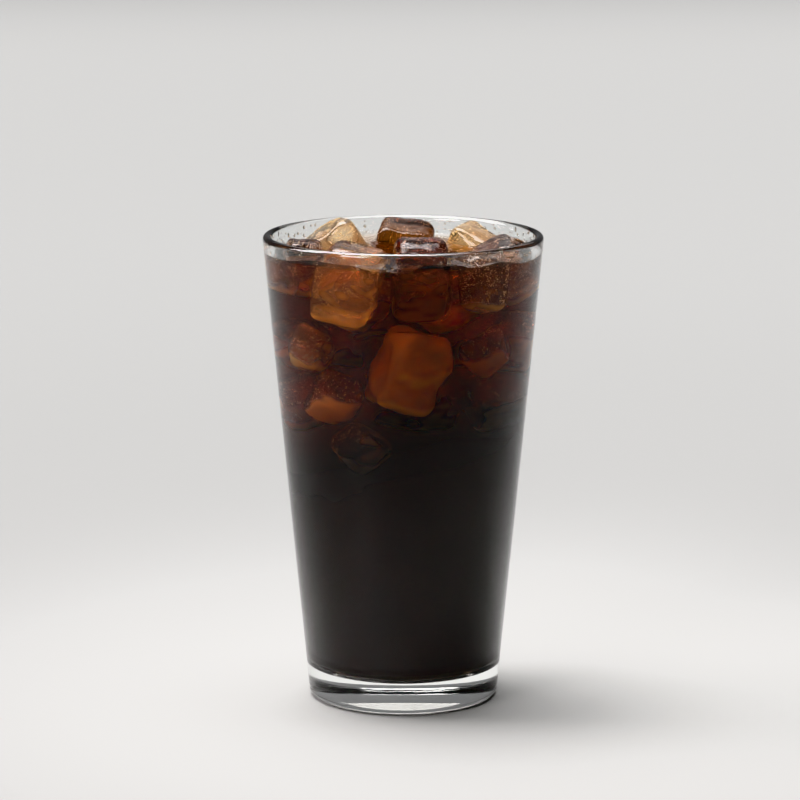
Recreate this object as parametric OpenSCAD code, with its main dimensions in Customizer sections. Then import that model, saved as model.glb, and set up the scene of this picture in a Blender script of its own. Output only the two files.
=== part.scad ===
// A pint glass of cold brew coffee with ice cubes standing out of it.
// The glass stands on z = 0, its axis is Z, and +X is the right side seen from the front (-Y).

/* [Glass] */
// Height of the glass
glass_h = 149; // [125:1:180]
// Outer diameter at the rim
rim_d = 89; // [74:1:107]
// Outer diameter at the base, before the heel is rounded
base_d = 60; // [50:1:72]
// Thickness of the wall at the rim
rim_wall = 2.8; // [2.2:0.1:3.6]
// Thickness of the wall at the floor, where the glass is heavier
low_wall = 4.8; // [3.8:0.1:5.8]
// Thickness of the floor
floor_t = 9.5; // [7.5:0.5:12]
// Radius of the rounded corner inside, between the floor and the wall
well_r = 7; // [5:0.5:9]
// Radius of the rounded heel outside
heel_r = 3; // [2:0.5:4]
// Width of the flat ring that the glass stands on
foot_w = 5; // [3:0.5:7]
// Depth of the hollow in the middle of the underside
punt_h = 1.8; // [1:0.1:3]

/* [Coffee] */
// Distance from the rim down to the level of the coffee
fill_gap = 6.5; // [4:0.5:12]
// Gap between the coffee and the glass, and between the coffee and each ice cube
wet_gap = 0.1; // [0.05:0.05:0.3]

/* [Ice] */
// About how near the outermost ice cubes come to the glass
ice_wall_gap = 0.6; // [0.3:0.1:2]
// How square the cubes are: low is boxy, 1 is a ball
ice_roundness = 0.36; // [0.25:0.01:0.6]
// Height of the bumps that melting leaves, as a share of half a cube
ice_bump = 0.05; // [0:0.01:0.08]
// How much wider a cube is at one end than at its middle, as a share of half a cube
ice_taper = 0.06; // [0:0.01:0.12]

/* [Hidden] */

rim_r = rim_d / 2;
base_r = base_d / 2;
level = glass_h - fill_gap;
round_fn = 96;
arc_steps = 12;

// The side of the glass is a straight line outside and one inside: radius = start + slope * height
outer_slope = (rim_r - base_r) / glass_h;
inner_slope = (rim_r - rim_wall - (base_r + outer_slope * floor_t - low_wall)) / (glass_h - floor_t);
outer_start = base_r;
inner_start = rim_r - rim_wall - inner_slope * glass_h;
outer_lean = atan(outer_slope);
inner_lean = atan(inner_slope);
function outer_radius(z) = outer_start + outer_slope * z;
function inner_radius(z) = inner_start + inner_slope * z;

// Centres of the three rounds, each tangent to the lines that it joins
rim_round_r = rim_wall / (1 / cos(outer_lean) + 1 / cos(inner_lean) + outer_slope - inner_slope);
rim_round = [outer_radius(glass_h - rim_round_r) - rim_round_r / cos(outer_lean), glass_h - rim_round_r];
heel = [outer_radius(heel_r) - heel_r / cos(outer_lean), heel_r];
well = [inner_radius(floor_t + well_r) - well_r / cos(inner_lean), floor_t + well_r];

// The hollow underneath is part of a large ball
punt_r = heel.x - foot_w;
punt_ball_r = (punt_r * punt_r + punt_h * punt_h) / (2 * punt_h);
punt_angle = asin(punt_r / punt_ball_r);

// The ice was laid out in a mouth of this radius; the layout grows and shrinks with the mouth
layout_r = 40.7;
ice_fit = (inner_radius(level) - ice_wall_gap) / layout_r;

// Each cube: [x, y, height of its centre over the level], [width, depth, height],
// [turn about X, turn about Y, turn about Z], and a number that varies its bumps
ICE = [
    [[-21, 14, -1.5], [20, 16, 19], [6, -36, 4], 1],
    [[0.5, 28, -2.5], [20, 16, 19], [16, 8, -4], 2],
    [[22, 19, -2.5], [17, 15, 18], [4, 28, -34], 3],
    [[30, -1, -4], [16, 17, 17], [14, -20, 8], 4],
    [[23, -22, -5.5], [14, 14, 17], [-8, 10, 42], 5],
    [[5, -20, -4.5], [18, 17, 24], [20, 4, 2], 6],
    [[-15.5, -20, -6], [20, 17, 25], [10, 12, -14], 7],
    [[-32, -3, -3], [13, 14, 17], [6, 10, 8], 8],
];

// Points around a cube, and rows of points from its bottom to its top
ice_cols = 24;
ice_rows = 11;

function signed_pow(value, power) = sign(value) * pow(abs(value), power);

// A point on a box with rounded corners that reaches 1 each way
function box_point(lat, lon) = [
    signed_pow(cos(lat), ice_roundness) * signed_pow(cos(lon), ice_roundness),
    signed_pow(cos(lat), ice_roundness) * signed_pow(sin(lon), ice_roundness),
    signed_pow(sin(lat), ice_roundness)
];

// The same point melted: slow waves swell it, and one end is wider than the other
function bump(p, vary) =
    (sin(130 * p.x + 77 * vary) + sin(110 * p.y + 131 * vary) + sin(150 * p.z + 59 * vary)) / 3;
function melted(p, vary) =
    let (swell = 1 - ice_bump + ice_bump * bump(p, vary), side = 1 - ice_taper * (1 - p.z) / 2)
    [p.x * swell * side, p.y * swell * side, p.z * swell];

// One ice cube at the origin, grown by a margin on every side
module melted_cube(size, vary, margin) {
    half = size * ice_fit / 2 + [margin, margin, margin];
    ring = [for (row = [1 : ice_rows], col = [0 : ice_cols - 1])
        melted(box_point(-90 + 180 * row / (ice_rows + 1), 360 * col / ice_cols), vary)];
    ends = [melted([0, 0, -1], vary), melted([0, 0, 1], vary)];
    points = [for (p = concat(ring, ends)) [p.x * half.x, p.y * half.y, p.z * half.z]];
    low_end = ice_rows * ice_cols;
    function at(row, col) = row * ice_cols + col % ice_cols;
    polyhedron(points = points, convexity = 4, faces = concat(
        [for (row = [0 : ice_rows - 2], col = [0 : ice_cols - 1])
            [at(row, col), at(row + 1, col), at(row + 1, col + 1)]],
        [for (row = [0 : ice_rows - 2], col = [0 : ice_cols - 1])
            [at(row, col), at(row + 1, col + 1), at(row, col + 1)]],
        [for (col = [0 : ice_cols - 1]) [low_end, at(0, col), at(0, col + 1)]],
        [for (col = [0 : ice_cols - 1]) [low_end + 1, at(ice_rows - 1, col + 1), at(ice_rows - 1, col)]]));
}

// Cube number i of the list, in its place
module placed_cube(i, margin = 0) {
    place = ICE[i][0] * ice_fit;
    translate([place.x, place.y, level + place.z])
        rotate(ICE[i][2])
            melted_cube(ICE[i][1], ICE[i][3], margin);
}

module ice_cube(i) {
    color([0.82, 0.72, 0.62, 0.6]) placed_cube(i);
}

// Points along a round of a profile, from one direction to another
function arc(centre, r, from, to) =
    [for (i = [0 : arc_steps], turn = from + (to - from) * i / arc_steps) centre + r * [cos(turn), sin(turn)]];

// Half of the glass cut through its axis: under the base, up the outside, over the rim, down the inside
module glass_profile() {
    polygon(concat(
        arc([0, punt_h - punt_ball_r], punt_ball_r, 90, 90 - punt_angle),
        arc(heel, heel_r, -90, -outer_lean),
        arc(rim_round, rim_round_r, -outer_lean, 180 - inner_lean),
        arc(well, well_r, -inner_lean, -90),
        [[0, floor_t]]));
}

module glass() {
    color([0.8, 0.87, 0.84, 0.35]) rotate_extrude($fn = round_fn) glass_profile();
}

// Half of the coffee cut through its axis: the inside of the glass up to the level
module coffee_profile() {
    polygon(concat(
        [[0, floor_t + wet_gap]],
        arc(well, well_r - wet_gap, -90, -inner_lean),
        [[inner_radius(level) - wet_gap / cos(inner_lean), level], [0, level]]));
}

module coffee() {
    color([0.16, 0.07, 0.04])
        difference() {
            rotate_extrude($fn = round_fn) coffee_profile();
            for (i = [0 : len(ICE) - 1]) placed_cube(i, wet_gap);
        }
}

glass();
coffee();
ice_cube(0);  // ice_back_left
ice_cube(1);  // ice_back
ice_cube(2);  // ice_back_right
ice_cube(3);  // ice_right
ice_cube(4);  // ice_front_right
ice_cube(5);  // ice_front
ice_cube(6);  // ice_front_left
ice_cube(7);  // ice_left
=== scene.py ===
"""A pint glass of cold brew coffee with ice cubes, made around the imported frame."""
import math
import random

import bmesh
import bpy
import numpy as np
from mathutils import Euler, Matrix, Vector, noise
from mathutils.bvhtree import BVHTree


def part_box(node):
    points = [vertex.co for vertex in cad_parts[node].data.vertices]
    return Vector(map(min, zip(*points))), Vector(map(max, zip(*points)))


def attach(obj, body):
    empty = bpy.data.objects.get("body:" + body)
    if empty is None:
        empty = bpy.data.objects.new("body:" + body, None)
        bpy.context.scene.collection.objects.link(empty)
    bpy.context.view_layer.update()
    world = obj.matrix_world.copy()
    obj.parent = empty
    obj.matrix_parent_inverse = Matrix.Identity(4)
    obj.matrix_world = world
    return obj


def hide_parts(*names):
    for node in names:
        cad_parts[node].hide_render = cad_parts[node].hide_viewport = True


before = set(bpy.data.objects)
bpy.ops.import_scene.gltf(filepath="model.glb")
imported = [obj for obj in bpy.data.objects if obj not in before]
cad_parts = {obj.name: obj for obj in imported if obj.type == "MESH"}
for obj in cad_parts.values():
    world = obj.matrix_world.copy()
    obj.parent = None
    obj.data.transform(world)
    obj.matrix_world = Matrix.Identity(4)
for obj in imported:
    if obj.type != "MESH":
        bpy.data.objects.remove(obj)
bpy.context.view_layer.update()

MM = 0.001

# ---- Sizes of the glass and the coffee, as the CAD has them -------------------------------------
GLASS_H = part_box("glass")[1].z
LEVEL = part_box("coffee")[1].z
RIM_R = 44.5 * MM
BASE_R = 30 * MM
RIM_WALL = 2.8 * MM
LOW_WALL = 4.8 * MM
FLOOR_T = 9.5 * MM
WELL_R = 7 * MM
HEEL_R = 3 * MM
FOOT_W = 5 * MM
PUNT_H = 1.8 * MM
WALL_REACH = 0.15 * MM     # how far the coffee reaches into the wall, so that no air gap shows
ICE_REACH = 0.12 * MM      # how far each ice cube reaches into the coffee around it

OUTER_SLOPE = (RIM_R - BASE_R) / GLASS_H
INNER_SLOPE = (RIM_R - RIM_WALL - (BASE_R + OUTER_SLOPE * FLOOR_T - LOW_WALL)) / (GLASS_H - FLOOR_T)
INNER_START = RIM_R - RIM_WALL - INNER_SLOPE * GLASS_H
OUTER_LEAN = math.atan(OUTER_SLOPE)
INNER_LEAN = math.atan(INNER_SLOPE)

# ---- Sunk ice: source cube, centre in mm, edge in mm, turns in degrees, look ------------------------
SUNK_ICE = [
    ("ice_back_left", (9, 3, 130.5), 18, (12, 8, 30), "amber"),
    ("ice_front", (-10, 0, 130), 15, (20, 14, 8), "amber"),
    ("ice_front", (2, -19.5, 110), 21, (-14, 12, 16), "ember"),
    ("ice_back_left", (-25, -13, 115.5), 13, (20, -28, 30), "amber"),
    ("ice_back_right", (23, -14, 115), 14, (35, 10, 60), "dim"),
    ("ice_right", (28, 3, 116), 17, (10, 40, 20), "dim"),
    ("ice_front", (13, 21, 116), 16, (25, -10, 35), "dim"),
    ("ice_front_left", (-9, 22, 116), 16, (12, 20, 50), "amber"),
    ("ice_back", (-25, 4, 116), 14, (40, 12, 15), "dim"),
    ("ice_back_left", (0, 3, 111), 18, (15, 25, 35), "dim"),
    ("ice_front_left", (-19, -17, 101), 15, (30, 12, 10), "dim"),
    ("ice_right", (22, 8, 97), 17, (24, 14, 40), "dim"),
    ("ice_front_right", (3, 24, 96), 18, (30, 6, 22), "dim"),
    ("ice_back_right", (-21, 9, 97), 18, (5, 32, 12), "dim"),
    ("ice_back", (-12, -19, 85.5), 13, (10, 30, 40), "dim"),
]

# ---- Looks of the ice ---------------------------------------------------------------------------------
# Pale tint, deep tint, how clear it is in the coffee and above it, and how much it mirrors where that isn't
# 1. The tints are painted light and shade: golden where a cube glows, near black where it lies in shade, and
# the dark ones mirror less.
ICE_LOOKS = {
    "ice_back_left": ((1, 0.92, 0.74), (0.85, 0.6, 0.34), 0.93, 0.96),
    "ice_back": ((0.42, 0.2, 0.08), (0.1, 0.04, 0.025), 0.92, 0.98, 0.25),
    "ice_back_right": ((0.92, 0.78, 0.5), (0.55, 0.27, 0.12), 0.93, 0.95),
    "ice_right": ((0.5, 0.38, 0.36), (0.28, 0.19, 0.17), 0.97, 0.98),
    "ice_front_right": ((0.55, 0.4, 0.32), (0.3, 0.17, 0.12), 0.97, 0.95),
    "ice_front": ((0.4, 0.22, 0.19), (0.2, 0.09, 0.08), 0.9, 0.99, 0.12),
    "ice_front_left": ((1, 0.86, 0.64), (0.72, 0.48, 0.28), 0.87, 0.99),
    "ice_left": ((0.6, 0.48, 0.46), (0.34, 0.24, 0.22), 0.9, 0.99, 0.5),
}
# The looks of the sunk ice are painted light and shade: a bright orange glow, an amber glow, and a dim shaded
# red.
SUNK_LOOKS = {
    "ember": ((1, 0.78, 0.54), (1, 0.48, 0.24), 0.58, 1, 0.15),
    "amber": ((1, 0.8, 0.56), (0.8, 0.42, 0.24), 0.9, 1, 0.15),
    "dim": ((0.85, 0.46, 0.34), (0.5, 0.2, 0.14), 0.9, 1, 0.15),
}
FLOATING_BUBBLE_SLOT = 1            # the bubbles have the material after the one of a floating cube
SUNK_BUBBLE_SLOT = len(SUNK_LOOKS)  # and after those of the sunk ice
PAINTED_GLOW_TINT = (1, 0.8, 0.45)     # painted glow: the cloudy lower edges of a cube get this golden tint, standing in for light that comes down through it
UNDERSIDE_CLEAR = 0.3               # how clear those edges are
CLOUDY_UNDER = 2 * MM              # under the level by this much, the ice is as cloudy as in the coffee, so its tint of painted light and shade shows most
CLEAR_OVER = 3 * MM                 # and over it by this much, as clear as above it

# ---- Shape of the ice -----------------------------------------------------------------------------------
ICE_NODES = sorted(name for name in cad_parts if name.startswith("ice_"))
FLOATING_VOXEL = 0.6 * MM           # how fine the meshes are
SUNK_VOXEL = 0.75 * MM
FLOATING_DENTS = 0.8                # mm, how deep the dents are
SUNK_DENTS = 1.8
DENT_SIZE = 8 * MM
RIPPLES = 0.18                      # mm
RIPPLE_SIZE = 2.8 * MM
BOX_OVER_CUBE = 1.12                # the box round a turned cube is about this much wider than the cube
EDGE_FROM, EDGE_SPAN = 0.12, 0.4    # how much a surface faces down at the lower edges of a cube, where the glow is painted
FLAT_FROM, FLAT_SPAN = 0.8, 0.17    # and under it
FLAT_LESS = 0.55                    # how much weaker the painted glow is under it

# ---- How far the coffee climbs the wall: direction in degrees from +X, rise in mm ---------------------
WET_LINE = [(-180, 0.8), (-150, 1.2), (-130, 2.6), (-115, 2.2), (-100, 0.4), (-90, 0.2),
            (-79, 2.8), (-68, 2.2), (-58, 0.8), (-46, 1.8), (-30, 0.3), (0, 1.0),
            (40, 2.0), (75, 0.6), (110, 1.8), (150, 0.5), (180, 0.8)]
LEAST_RISE = 0.3            # mm more than WET_LINE says, all round
WALL_CLIMB = 2.2 * MM       # how far from the wall the rise fades
ICE_RISE = 1.1              # mm, how far the coffee climbs the ice
ICE_CLIMB = 1.5 * MM        # how far from the ice that rise fades

# ---- Painted shade: a dark body low in the glass, where the coffee lets no light through ------------
CORE_INSET = 0.6 * MM
CORE_TOP = 118 * MM
CORE_SOLID = 74 * MM        # lets nothing through below this height
CORE_FADED = 107 * MM       # and hides nothing above this one
CORE_TILT = 0.3             # how much higher it reaches on the right
CORE_SWIRL = 30 * MM        # how far its cloudiness moves the front, half of it up and half down

# ---- Materials and meshes ---------------------------------------------------------------------------
WATER_IOR = 1.333
ICE_IOR = 1.31
GLASS_IOR = 1.5
WETTED_MIRROR = 0.06        # how much glass mirrors where coffee wets it
COFFEE_MIRROR = 0.2
ROUND = 256                 # steps round the glass and the coffee
CORE_ROUND = 96
SURFACE_RINGS = 62          # rings of points on the surface of the coffee
QUARTER = math.pi / 2


# ---- Small helpers ---------------------------------------------------------------------------------
def new_object(name, vertices, faces):
    """A new mesh object in the scene."""
    mesh = bpy.data.meshes.new(name)
    mesh.from_pydata([tuple(v) for v in vertices], [], faces)
    mesh.validate()
    obj = bpy.data.objects.new(name, mesh)
    bpy.context.scene.collection.objects.link(obj)
    return obj


def smooth(obj, sharp_angle=None):
    obj.data.polygons.foreach_set("use_smooth", [True] * len(obj.data.polygons))
    if sharp_angle:
        obj.data.set_sharp_from_angle(angle=math.radians(sharp_angle))
    obj.data.update()
    return obj


def apply_modifiers(obj):
    """Puts the modifiers of an object into its mesh."""
    bpy.context.view_layer.update()
    evaluated = obj.evaluated_get(bpy.context.evaluated_depsgraph_get())
    mesh = bpy.data.meshes.new_from_object(evaluated)
    obj.modifiers.clear()
    obj.data = mesh


def joined(name, objects):
    """One object that holds the meshes of all, which are then gone."""
    work = bmesh.new()
    for obj in objects:
        work.from_mesh(obj.data)
        bpy.data.objects.remove(obj)
    mesh = bpy.data.meshes.new(name)
    work.to_mesh(mesh)
    work.free()
    obj = bpy.data.objects.new(name, mesh)
    bpy.context.scene.collection.objects.link(obj)
    return obj


def points_of(obj):
    co = np.empty(len(obj.data.vertices) * 3, np.float32)
    obj.data.vertices.foreach_get("co", co)
    return co.reshape(-1, 3).astype(float)


def normals_of(obj):
    normals = np.empty(len(obj.data.vertices) * 3, np.float32)
    obj.data.vertex_normals.foreach_get("vector", normals)
    return normals.reshape(-1, 3).astype(float)


def set_points(obj, co):
    obj.data.vertices.foreach_set("co", np.asarray(co, np.float32).ravel())
    obj.data.update()


def lathe(rings, segments):
    """Vertices and faces of a closed turned solid. Each ring is (radius, z). The two ends are on the axis."""
    turns = [2 * math.pi * i / segments for i in range(segments)]
    vertices = [(0, 0, rings[0][1])]
    for r, z in rings[1:-1]:
        vertices += [(r * math.cos(t), r * math.sin(t), z) for t in turns]
    vertices.append((0, 0, rings[-1][1]))
    last = len(vertices) - 1
    faces = []
    for i in range(segments):
        j = (i + 1) % segments
        faces.append((0, 1 + j, 1 + i))
        for k in range(len(rings) - 3):
            a, b = 1 + k * segments, 1 + (k + 1) * segments
            faces.append((a + i, a + j, b + j, b + i))
        top = 1 + (len(rings) - 3) * segments
        faces.append((top + i, top + j, last))
    return vertices, faces


def arc(centre, r, start, end, steps):
    turns = [start + (end - start) * i / steps for i in range(steps + 1)]
    return [(centre[0] + r * math.cos(t), centre[1] + r * math.sin(t)) for t in turns]


def line(start, end, steps):
    """Points strictly between two ends."""
    return [(start[0] + (end[0] - start[0]) * i / steps, start[1] + (end[1] - start[1]) * i / steps)
            for i in range(1, steps)]


def inner_radius(z):
    return INNER_START + INNER_SLOPE * z


def outer_radius(z):
    return BASE_R + OUTER_SLOPE * z


# ---- Glass --------------------------------------------------------------------------------------------
def well_centre():
    """Centre of the round between the wall and the floor, inside."""
    z = FLOOR_T + WELL_R
    return inner_radius(z) - WELL_R / math.cos(INNER_LEAN), z


def mark_wetted(glass):
    """The inside of the glass hardly mirrors where coffee wets it: those faces have the second material."""
    below_floor = 0.1 * MM
    into_wall = 0.3 * MM
    over_level = 0.8 * MM
    for face in glass.data.polygons:
        middle = face.center
        r = math.hypot(middle.x, middle.y)
        inside = middle.z > FLOOR_T - below_floor and r < inner_radius(middle.z) + into_wall
        if inside and middle.z < LEVEL + over_level:
            face.material_index = 1


def make_glass():
    rim_round = RIM_WALL / (1 / math.cos(OUTER_LEAN) + 1 / math.cos(INNER_LEAN) + OUTER_SLOPE - INNER_SLOPE)
    rim_z = GLASS_H - rim_round
    rim = (outer_radius(rim_z) - rim_round / math.cos(OUTER_LEAN), rim_z)
    heel = (outer_radius(HEEL_R) - HEEL_R / math.cos(OUTER_LEAN), HEEL_R)
    punt_r = heel[0] - FOOT_W
    ball = (punt_r ** 2 + PUNT_H ** 2) / (2 * PUNT_H)
    half = math.asin(punt_r / ball)
    under = arc((0, PUNT_H - ball), ball, QUARTER, QUARTER - half, 16)
    heel_arc = arc(heel, HEEL_R, -QUARTER, -OUTER_LEAN, 12)
    rim_arc = arc(rim, rim_round, -OUTER_LEAN, math.pi - INNER_LEAN, 24)
    well_arc = arc(well_centre(), WELL_R, -INNER_LEAN, -QUARTER, 16)
    floor = line(well_arc[-1], (0, FLOOR_T), 8)
    rings = (under + heel_arc + line(heel_arc[-1], rim_arc[0], 40) + rim_arc
             + line(rim_arc[-1], well_arc[0], 40) + well_arc + floor + [(0, FLOOR_T)])
    glass = smooth(new_object("pint_glass", *lathe(rings, ROUND)))
    glass.data.materials.append(glass_material("clear_glass", 1))
    glass.data.materials.append(glass_material("wetted_glass", WETTED_MIRROR))
    mark_wetted(glass)
    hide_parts("glass")
    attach(glass, "root")


# ---- Ice ----------------------------------------------------------------------------------------------
def melted(obj, voxel, dents, vary):
    """Gives a plain cube the soft dents and ripples of melting ice."""
    remesh = obj.modifiers.new("fine", "REMESH")
    remesh.mode = "VOXEL"
    remesh.voxel_size = voxel
    soften = obj.modifiers.new("soften", "SMOOTH")
    soften.factor = 0.5
    soften.iterations = 10
    apply_modifiers(obj)
    co = points_of(obj)
    shift = Vector((vary * 3.7, vary * 1.9, vary * 5.3))
    push = []
    for p in co:
        dent = dents * noise.noise(Vector(p) / DENT_SIZE + shift)
        ripple = RIPPLES * noise.noise(Vector(p) / RIPPLE_SIZE - shift)
        push.append(dent + ripple)
    set_points(obj, co + normals_of(obj) * (np.array(push) * MM)[:, None])
    return smooth(obj)


def cube_copy(name, node):
    """A copy of one cube of the CAD, with no material."""
    obj = bpy.data.objects.new(name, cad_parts[node].data.copy())
    obj.data.materials.clear()
    bpy.context.scene.collection.objects.link(obj)
    return obj


def floating_cube(node, vary):
    return melted(cube_copy(node + "_cube", node), FLOATING_VOXEL, FLOATING_DENTS, vary)


def sunk_cube(number, node, centre, edge, turns):
    obj = cube_copy(f"sunk_{number}", node)
    low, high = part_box(node)
    box_side = (high - low).length / math.sqrt(3)
    scale = edge * MM / box_side * BOX_OVER_CUBE
    turn = Euler([math.radians(t) for t in turns]).to_matrix().to_4x4()
    place = Matrix.Translation(Vector(centre) * MM)
    obj.data.transform(place @ turn @ Matrix.Scale(scale, 4) @ Matrix.Translation(-(low + high) / 2))
    return melted(obj, SUNK_VOXEL, SUNK_DENTS, number + 20)


def ball_shape(detail):
    """Vertices and faces of a ball of radius 1."""
    work = bmesh.new()
    bmesh.ops.create_icosphere(work, subdivisions=detail, radius=1)
    vertices = np.array([v.co for v in work.verts])
    faces = np.array([[v.index for v in f.verts] for f in work.faces])
    work.free()
    return vertices, faces


def add_bubbles(cube, skin, streaks, slot, seed):
    """Air bubbles inside a cube: single ones under its skin, and streaks of small ones out of its middle."""
    draw = random.Random(seed)
    patch_size = 6 * MM
    first_step, step_length = 0.6, 0.62
    co, normals = points_of(cube), normals_of(cube)
    middle = co.mean(axis=0)
    spots = []
    while len(spots) < skin:
        i = draw.randrange(len(co))
        if noise.noise(Vector(co[i]) / patch_size) + draw.uniform(-0.15, 0.15) > 0.05:
            depth = draw.uniform(0.3, 0.9) * MM
            spots.append((co[i] - normals[i] * depth, draw.choice([0.07, 0.09, 0.12, 0.15, 0.2]) * MM))
    for _ in range(streaks):
        way = np.array(Vector([draw.gauss(0, 1) for _ in range(3)]).normalized())
        start = middle + np.array([draw.uniform(-1.5, 1.5) for _ in range(3)]) * MM
        for step in range(draw.randint(5, 11)):
            wander = np.array([draw.gauss(0, 0.15) for _ in range(3)]) * MM
            along = way * (first_step + step_length * step) * MM
            spots.append((start + along + wander, draw.uniform(0.07, 0.18) * MM))
    shape, shape_faces = ball_shape(1)
    facing_in = shape_faces[:, ::-1]
    vertices = np.concatenate([centre + shape * r for centre, r in spots])
    faces = np.concatenate([facing_in + len(shape) * i for i in range(len(spots))])
    bubbles = new_object("bubbles", vertices, faces.tolist())
    bubbles.data.polygons.foreach_set("material_index", [slot] * len(faces))
    return smooth(joined(cube.name, [cube, bubbles]))


def mark_undersides(obj):
    """A mask for the painted glow: 1 round the lower edges of the ice, less under it, and 0 elsewhere."""
    down = -normals_of(obj)[:, 2]
    edge = np.clip((down - EDGE_FROM) / EDGE_SPAN, 0, 1)
    flat = np.clip((down - FLAT_FROM) / FLAT_SPAN, 0, 1)
    eased = edge * edge * (3 - 2 * edge)
    mark = obj.data.attributes.new("underside", "FLOAT", "POINT")
    mark.data.foreach_set("value", (eased * (1 - FLAT_LESS * flat)).astype(np.float32))


def cutter_of(obj):
    """A copy that is smaller all round by the reach of the ice into the coffee."""
    cutter = bpy.data.objects.new(obj.name + "_cutter", obj.data.copy())
    bpy.context.scene.collection.objects.link(cutter)
    set_points(cutter, points_of(cutter) - normals_of(cutter) * ICE_REACH)
    return cutter


def tree_of(obj):
    return BVHTree.FromPolygons([v.co.copy() for v in obj.data.vertices],
                                [tuple(p.vertices) for p in obj.data.polygons])


def depth_inside(tree, point):
    """How far a point is inside a closed mesh; negative outside."""
    near, normal, _, distance = tree.find_nearest(point)
    return distance if (point - near).dot(normal) < 0 else -distance


# ---- Coffee -------------------------------------------------------------------------------------------
def wet_rise(degrees):
    """How far the coffee climbs the wall in this direction, eased between the points of WET_LINE."""
    for (start, low), (end, high) in zip(WET_LINE, WET_LINE[1:]):
        if degrees <= end:
            ease = (1 - math.cos(math.pi * (degrees - start) / (end - start))) / 2
            return low + (high - low) * ease
    return WET_LINE[-1][1]


def climbed(x, y, z, ice_tree):
    """How far the coffee rises here, up the wall and up the ice, as a length."""
    to_wall = max(inner_radius(LEVEL) - math.hypot(x, y), 0)
    point = Vector((x, y, z))
    to_ice = max(-depth_inside(ice_tree, point), 0)
    rise = (wet_rise(math.degrees(math.atan2(y, x))) + LEAST_RISE) * math.exp(-to_wall / WALL_CLIMB)
    rise += ICE_RISE * math.exp(-to_ice / ICE_CLIMB)
    return rise * MM


def make_coffee(cutters):
    """A turned solid that reaches into the wall, with a curved surface, cut round the ice."""
    ice_tree = tree_of(cutters)
    well_arc = arc(well_centre(), WELL_R + WALL_REACH, -QUARTER, -INNER_LEAN, 12)
    top = (inner_radius(LEVEL) + WALL_REACH / math.cos(INNER_LEAN), LEVEL)
    bottom = (0, well_arc[0][1])
    surface = [(top[0] * (1 - i / SURFACE_RINGS), LEVEL) for i in range(1, SURFACE_RINGS)]
    rings = ([bottom] + line(bottom, well_arc[0], 4) + well_arc + line(well_arc[-1], top, 30) + [top]
             + surface + [(0, LEVEL)])
    vertices, faces = lathe(rings, ROUND)
    first = len(vertices) - 1 - SURFACE_RINGS * ROUND
    for i in range(first, len(vertices)):
        x, y, z = vertices[i]
        lifted = z + climbed(x, y, z, ice_tree)
        wide = 1
        if i < first + ROUND:
            wide = (inner_radius(lifted) + WALL_REACH) / (inner_radius(z) + WALL_REACH)
        vertices[i] = (x * wide, y * wide, lifted)
    coffee = new_object("cold_brew", vertices, faces)
    cut = coffee.modifiers.new("cut", "BOOLEAN")
    cut.operation = "DIFFERENCE"
    cut.solver = "MANIFOLD"
    cut.object = cutters
    apply_modifiers(coffee)
    bpy.data.objects.remove(cutters)
    smooth(coffee, sharp_angle=40)
    coffee.data.materials.clear()
    coffee.data.materials.append(coffee_material())
    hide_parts("coffee")
    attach(coffee, "root")


def make_painted_shade_core():
    """A near-black body of painted shade, standing for the dark low in the glass where no light comes through
    the coffee.
    """
    well_arc = arc(well_centre(), WELL_R - CORE_INSET, -QUARTER, -INNER_LEAN, 12)
    top = (inner_radius(CORE_TOP) - CORE_INSET, CORE_TOP)
    bottom = (0, well_arc[0][1])
    rings = ([bottom] + line(bottom, well_arc[0], 4) + well_arc + line(well_arc[-1], top, 24) + [top]
             + line(top, (0, CORE_TOP), 6) + [(0, CORE_TOP)])
    core = smooth(new_object("painted_shade_core", *lathe(rings, CORE_ROUND)))
    core.data.materials.append(painted_shade_material())
    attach(core, "root")


# ---- Drops ----------------------------------------------------------------------------------------------
def make_drops(count):
    """Flat drops of coffee left on the inside of the glass above the level."""
    draw = random.Random(5)
    flat = 0.45
    lowest, spread = 1.2, 4
    shape, shape_faces = ball_shape(2)
    vertices, faces = [], []
    for i in range(count):
        turn = math.radians(draw.uniform(-180, 180))
        size = draw.choice([0.18, 0.22, 0.28, 0.36, 0.5]) * MM
        z = LEVEL + (lowest + draw.random() ** 1.6 * spread) * MM
        out = Vector((math.cos(turn), math.sin(turn), 0))
        along = Vector((-out.y, out.x, 0))
        centre = out * inner_radius(z) + Vector((0, 0, z))
        stretch = draw.uniform(0.9, 1.6)
        for p in shape:
            sideways = (out * p[0] * flat + along * p[1]) * size
            vertices.append(centre + sideways + Vector((0, 0, p[2] * stretch * size)))
        faces += (shape_faces + len(shape) * i).tolist()
    drops = smooth(new_object("drops", vertices, faces))
    drops.data.materials.append(drop_material())
    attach(drops, "root")


# ---- Materials ----------------------------------------------------------------------------------------
def new_material(name):
    material = bpy.data.materials.new(name)
    material.use_nodes = True
    nodes = material.node_tree.nodes
    return material, nodes, material.node_tree.links, nodes["Principled BSDF"]


def noise_over(nodes, links, position, scale, detail):
    grain = nodes.new("ShaderNodeTexNoise")
    grain.inputs["Scale"].default_value = scale
    grain.inputs["Detail"].default_value = detail
    links.new(position, grain.inputs["Vector"])
    return grain.outputs["Fac"]


def add_bumps(nodes, links, shader, scale, strength, distance):
    """Fine unevenness, so that the surface doesn't look perfect."""
    position = nodes.new("ShaderNodeNewGeometry").outputs["Position"]
    bump = nodes.new("ShaderNodeBump")
    bump.inputs["Strength"].default_value = strength
    bump.inputs["Distance"].default_value = distance
    grain = noise_over(nodes, links, position, scale, detail=3)
    links.new(grain, bump.inputs["Height"])
    links.new(bump.outputs["Normal"], shader.inputs["Normal"])


def two_tones(nodes, links, source, low, high, low_at=0, high_at=1):
    """A colour that goes from low to high while its source goes from low_at to high_at."""
    tones = nodes.new("ShaderNodeValToRGB")
    first, last = tones.color_ramp.elements
    first.color = (*low, 1)
    first.position = low_at
    last.color = (*high, 1)
    last.position = high_at
    links.new(source, tones.inputs["Fac"])
    return tones.outputs["Color"]


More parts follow.
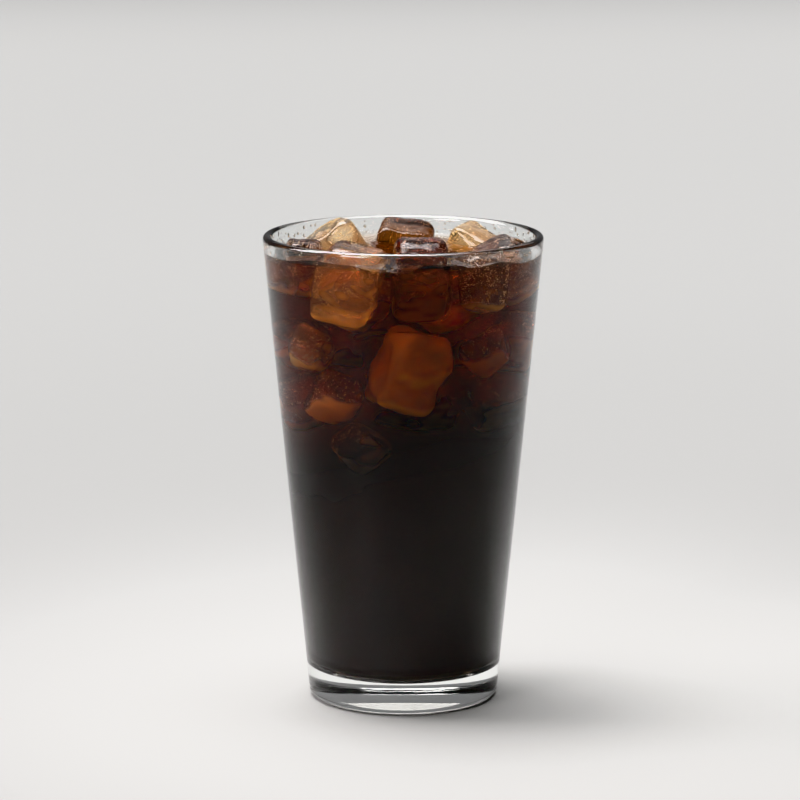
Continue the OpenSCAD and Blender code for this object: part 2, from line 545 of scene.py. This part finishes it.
def times_plus(nodes, links, value, factor, added):
    """The value times a number, plus another value."""
    step = nodes.new("ShaderNodeMath")
    step.operation = "MULTIPLY_ADD"
    step.inputs[1].default_value = factor
    links.new(value, step.inputs[0])
    links.new(added, step.inputs[2])
    return step.outputs["Value"]


def range_of(nodes, links, source, from_min, from_max, to_min, to_max, easing="LINEAR"):
    """A value that goes from to_min to to_max while its source goes from from_min to from_max."""
    span = nodes.new("ShaderNodeMapRange")
    span.interpolation_type = easing
    span.inputs["From Min"].default_value = from_min
    span.inputs["From Max"].default_value = from_max
    span.inputs["To Min"].default_value = to_min
    span.inputs["To Max"].default_value = to_max
    links.new(source, span.inputs["Value"])
    return span.outputs["Result"]


def mixed(nodes, links, factor, first, second):
    """A mix of two values. The second is a number."""
    mix = nodes.new("ShaderNodeMix")
    mix.inputs["B"].default_value = second
    links.new(factor, mix.inputs["Factor"])
    links.new(first, mix.inputs["A"])
    return mix.outputs["Result"]


def clear_material(name, ior, roughness=0, colour=(1, 1, 1)):
    """A material that light passes through."""
    material, nodes, links, shader = new_material(name)
    shader.inputs["Base Color"].default_value = (*colour, 1)
    shader.inputs["Transmission Weight"].default_value = 1
    shader.inputs["Roughness"].default_value = roughness
    shader.inputs["IOR"].default_value = ior
    return material, nodes, links, shader


def set_mirror(shader, amount):
    """How much the surface mirrors, where 1 is all that it really would."""
    shader.inputs["Specular Tint"].default_value = (amount, amount, amount, 1)


def glass_material(name, mirror):
    material, nodes, links, shader = clear_material(name, GLASS_IOR, colour=(0.965, 0.985, 0.975))
    set_mirror(shader, mirror)
    add_bumps(nodes, links, shader, scale=60, strength=0.25, distance=0.05 * MM)
    return material


def coffee_material():
    material, nodes, links, shader = clear_material("cold_brew", WATER_IOR)
    set_mirror(shader, COFFEE_MIRROR)
    absorb = nodes.new("ShaderNodeVolumeAbsorption")
    absorb.inputs["Color"].default_value = (0.75, 0.525, 0.33, 1)
    absorb.inputs["Density"].default_value = 190
    links.new(absorb.outputs["Volume"], nodes["Material Output"].inputs["Volume"])
    return material


def painted_shade_material():
    """Painted shade: near black, and fading away upwards along a slanted, cloudy front."""
    material, nodes, links, shader = new_material("painted_shade_core")
    position = nodes.new("ShaderNodeNewGeometry").outputs["Position"]
    cloud = noise_over(nodes, links, position, scale=35, detail=3)
    tones = two_tones(nodes, links, cloud, low=(0.002, 0.0015, 0.0015), high=(0.014, 0.006, 0.005))
    links.new(tones, shader.inputs["Base Color"])
    split = nodes.new("ShaderNodeSeparateXYZ")
    links.new(position, split.inputs["Vector"])
    slanted = times_plus(nodes, links, split.outputs["X"], -CORE_TILT, split.outputs["Z"])
    swirled = times_plus(nodes, links, cloud, CORE_SWIRL, slanted)
    solid = CORE_SOLID + CORE_SWIRL / 2
    faded = CORE_FADED + CORE_SWIRL / 2
    fade = range_of(nodes, links, swirled, solid, faded, 1, 0, easing="SMOOTHSTEP")
    links.new(fade, shader.inputs["Alpha"])
    shader.inputs["Roughness"].default_value = 0.9
    shader.inputs["Specular IOR Level"].default_value = 0
    return material


def ice_material(name, pale, deep, clear_below, clear_above, mirror=1):
    """Ice that is cloudy below the level, clearer above it, and cloudiest at its lower edges, which get a
    painted golden glow. Its tints are painted light and shade.
    """
    material, nodes, links, shader = clear_material(name, ICE_IOR, roughness=0.02)
    set_mirror(shader, mirror)
    add_bumps(nodes, links, shader, scale=450, strength=0.35, distance=0.15 * MM)
    position = nodes.new("ShaderNodeNewGeometry").outputs["Position"]
    split = nodes.new("ShaderNodeSeparateXYZ")
    links.new(position, split.inputs["Vector"])
    height = range_of(nodes, links, split.outputs["Z"], LEVEL - CLOUDY_UNDER, LEVEL + CLEAR_OVER, 0, 1)
    patches = noise_over(nodes, links, position, scale=130, detail=4)
    underside = nodes.new("ShaderNodeAttribute")
    underside.attribute_name = "underside"
    cloudy = range_of(nodes, links, patches, 0.35, 0.7, clear_below + 0.06, clear_below - 0.08)
    cloudy = mixed(nodes, links, underside.outputs["Fac"], cloudy, UNDERSIDE_CLEAR)
    links.new(mixed(nodes, links, height, cloudy, clear_above), shader.inputs["Transmission Weight"])
    # the pale and deep tints paint each cube's glow or shade, varying in random patches
    painted_light_patches = two_tones(nodes, links, patches, pale, deep, low_at=0.3, high_at=0.75)
    # the lower edges get the painted golden glow
    tint = nodes.new("ShaderNodeMix")
    tint.data_type = "RGBA"
    tint.inputs["B"].default_value = (*[a * b for a, b in zip(pale, PAINTED_GLOW_TINT)], 1)
    links.new(underside.outputs["Fac"], tint.inputs["Factor"])
    links.new(painted_light_patches, tint.inputs["A"])
    links.new(tint.outputs["Result"], shader.inputs["Base Color"])
    return material


def bubble_material():
    """Air bubbles catch the light as pale specks."""
    material, nodes, links, shader = clear_material("bubbles", ICE_IOR, roughness=0.3, colour=(1, 0.84, 0.56))
    shader.inputs["Transmission Weight"].default_value = 0.1
    add_bumps(nodes, links, shader, scale=2000, strength=0.3, distance=0.02 * MM)
    return material


def drop_material():
    tint = (0.93, 0.8, 0.66)
    material, nodes, links, shader = clear_material("thin_coffee", WATER_IOR, roughness=0.02, colour=tint)
    add_bumps(nodes, links, shader, scale=700, strength=0.2, distance=0.05 * MM)
    return material


def stage_material():
    material, _, _, shader = new_material("pale_floor")
    shader.inputs["Base Color"].default_value = (0.165, 0.163, 0.16, 1)
    shader.inputs["Roughness"].default_value = 0.7
    return material


# ---- Studio -------------------------------------------------------------------------------------------
def make_camera():
    """Where the photo was taken from: a long lens that looks a little down."""
    degrees_down = 10.722
    camera = bpy.data.objects.new("camera", bpy.data.cameras.new("camera"))
    camera.data.lens = 173
    camera.data.sensor_width = 36
    camera.data.shift_x = -0.004
    camera.location = (0, -1.2, 0.3229)
    camera.rotation_euler = (math.radians(90 - degrees_down), 0, 0)
    bpy.context.scene.collection.objects.link(camera)
    bpy.context.scene.camera = camera


def soft_light(name, place, target, size, watts, colour, spread):
    """A rectangle of light at a place, facing its target. The spread is in degrees."""
    data = bpy.data.lights.new(name, "AREA")
    data.shape = "RECTANGLE"
    data.size, data.size_y = size
    data.energy = watts
    data.color = colour
    data.spread = math.radians(spread)
    light = bpy.data.objects.new(name, data)
    light.location = place
    light.rotation_euler = (Vector(target) - Vector(place)).to_track_quat("-Z", "Y").to_euler()
    bpy.context.scene.collection.objects.link(light)


def make_stage():
    """A pale floor, the lamps and a dim sky."""
    half = 6
    corners = [(-half, -half, 0), (half, -half, 0), (half, half, 0), (-half, half, 0)]
    floor = new_object("floor", corners, [(0, 1, 2, 3)])
    floor.data.materials.append(stage_material())
    middle = (0, 0, 0.1)
    mouth = (0, 0, 0.13)
    soft_light("back", (0.05, 0.62, 0.72), mouth, (0.9, 0.6), 0.4, (1, 0.98, 0.95), 70)
    soft_light("top", (-0.1, 0.05, 0.42), mouth, (0.3, 0.24), 0.85, (1, 0.98, 0.96), 60)
    soft_light("left", (-0.6, 0.1, 0.6), mouth, (0.3, 0.4), 0.8, (1, 0.96, 0.97), 60)
    soft_light("far", (0, 1.5, 2.2), (0, 1.5, 0), (3.2, 3.4), 130, (1, 1, 1), 60)
    soft_light("key", (-0.8, -0.9, 0.6), middle, (0.5, 0.5), 4.5, (1, 0.98, 0.97), 90)
    world = bpy.data.worlds.new("studio")
    world.use_nodes = True
    world.node_tree.nodes["Background"].inputs["Color"].default_value = (0.75, 0.74, 0.75, 1)
    world.node_tree.nodes["Background"].inputs["Strength"].default_value = 0.3
    bpy.context.scene.world = world


# ---- Put together -------------------------------------------------------------------------------------
def finish_floating(cubes, bubbles):
    """Gives each floating cube its look, and hides the node of the CAD that it stands for."""
    for cube, node in zip(cubes, ICE_NODES):
        mark_undersides(cube)
        cube.data.materials.append(ice_material(node + "_look", *ICE_LOOKS[node]))
        cube.data.materials.append(bubbles)
        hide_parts(node)
        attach(cube, "root")


def finish_sunk(cubes, bubbles):
    """Joins the sunk cubes to one piece, in which each keeps its own look."""
    for cube, row in zip(cubes, SUNK_ICE):
        look = list(SUNK_LOOKS).index(row[-1])
        for face in cube.data.polygons:
            if face.material_index != SUNK_BUBBLE_SLOT:
                face.material_index = look
    sunk_ice = smooth(joined("sunk_ice", cubes))
    mark_undersides(sunk_ice)
    for look, values in SUNK_LOOKS.items():
        sunk_ice.data.materials.append(ice_material("sunk_ice_" + look, *values))
    sunk_ice.data.materials.append(bubbles)
    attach(sunk_ice, "root")


def make_ice_and_coffee():
    """The cubes take shape, cut their pockets in the coffee, and only then get bubbles and looks."""
    floating = [floating_cube(node, i) for i, node in enumerate(ICE_NODES)]
    sunk = [sunk_cube(i, *row[:-1]) for i, row in enumerate(SUNK_ICE)]
    make_coffee(joined("cutters", [cutter_of(cube) for cube in floating + sunk]))
    floating = [add_bubbles(cube, skin=560, streaks=5, slot=FLOATING_BUBBLE_SLOT, seed=i)
                for i, cube in enumerate(floating)]
    sunk = [add_bubbles(cube, skin=160, streaks=4, slot=SUNK_BUBBLE_SLOT, seed=50 + i)
            for i, cube in enumerate(sunk)]
    bubbles = bubble_material()
    finish_floating(floating, bubbles)
    finish_sunk(sunk, bubbles)


make_camera()
make_glass()
make_ice_and_coffee()
make_painted_shade_core()
make_drops(260)
make_stage()

scene = bpy.context.scene
scene.cycles.max_bounces = 32
scene.cycles.transmission_bounces = 32
scene.cycles.transparent_max_bounces = 16
scene.view_settings.view_transform = "Khronos PBR Neutral"
